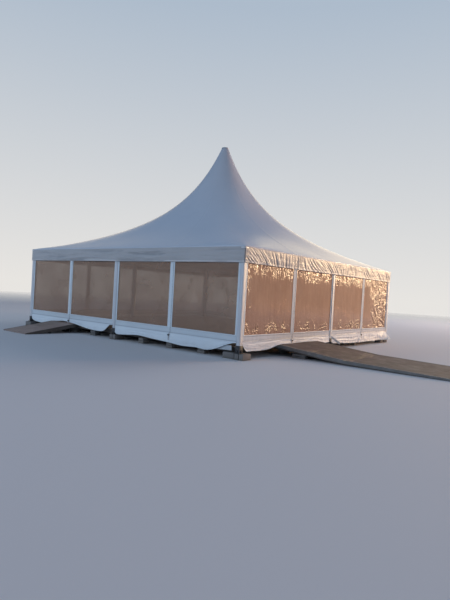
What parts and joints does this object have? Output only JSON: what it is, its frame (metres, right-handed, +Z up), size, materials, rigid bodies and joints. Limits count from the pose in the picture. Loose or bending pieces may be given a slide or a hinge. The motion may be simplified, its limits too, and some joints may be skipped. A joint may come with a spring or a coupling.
{
  "type": "marquee tent",
  "caption": "Square pagoda marquee with a peaked membrane roof, valance, windowed side curtains, aluminium frame, raised floor on blocks and entrance ramps.",
  "frame": {"origin": "at ground level under the middle of the tent, on the underside of the middle support block", "axes": "+Z up; the front with the short ramp faces -Y, the side with the long ramp faces +X"},
  "size_m": [15.2317, 11.7817, 7.3303],
  "materials": {
    "roof_cloth": "white coated membrane, softly glossy",
    "valance_cloth": "white coated cloth, wrinkled",
    "curtain_cloth": "white coated cloth, welded hems",
    "window_film": "clear bronze film, crinkled, glossy",
    "cap_plastic": "plain grey-white",
    "frame_aluminium": "mill finish, drawn along its length",
    "steel_wire": "galvanised strand",
    "floor_board": "worn coated plywood",
    "bearer_timber": "weathered grey timber",
    "ramp_board": "dark phenolic plywood, scuffed"
  },
  "bodies": {
    "root": {"roof_membrane": "roof_cloth", "roof_cap": "cap_plastic", "valance_front": "valance_cloth", "valance_right": "valance_cloth", "valance_back": "valance_cloth", "valance_left": "valance_cloth", "front_curtain_left": "curtain_cloth", "front_curtain_right": "curtain_cloth", "right_curtain_left": "curtain_cloth", "right_curtain_right": "curtain_cloth", "back_curtain_left": "curtain_cloth", "back_curtain_right": "curtain_cloth", "left_curtain_left": "curtain_cloth", "left_curtain_right": "curtain_cloth", "front_window_left": "window_film", "front_window_right": "window_film", "right_window_left": "window_film", "right_window_right": "window_film", "back_window_left": "window_film", "back_window_right": "window_film", "left_window_left": "window_film", "left_window_right": "window_film", "corner_post_front_right": "frame_aluminium", "corner_post_back_right": "frame_aluminium", "corner_post_back_left": "frame_aluminium", "corner_post_front_left": "frame_aluminium", "mid_post_front": "frame_aluminium", "mid_post_right": "frame_aluminium", "mid_post_back": "frame_aluminium", "mid_post_left": "frame_aluminium", "eave_beam_front": "frame_aluminium", "eave_beam_right": "frame_aluminium", "eave_beam_back": "frame_aluminium", "eave_beam_left": "frame_aluminium", "king_pole": "frame_aluminium", "crossing_cable_lower": "steel_wire", "crossing_cable_upper": "steel_wire", "floor_deck_left": "floor_board", "floor_deck_right": "floor_board", "floor_bearer_1": "bearer_timber", "floor_bearer_2": "bearer_timber", "floor_bearer_3": "bearer_timber", "floor_bearer_4": "bearer_timber", "floor_bearer_5": "bearer_timber", "ramp_front_deck": "ramp_board", "ramp_front_frame": "bearer_timber", "ramp_right_deck": "ramp_board", "ramp_right_frame": "bearer_timber"}
  },
  "joints": []
}
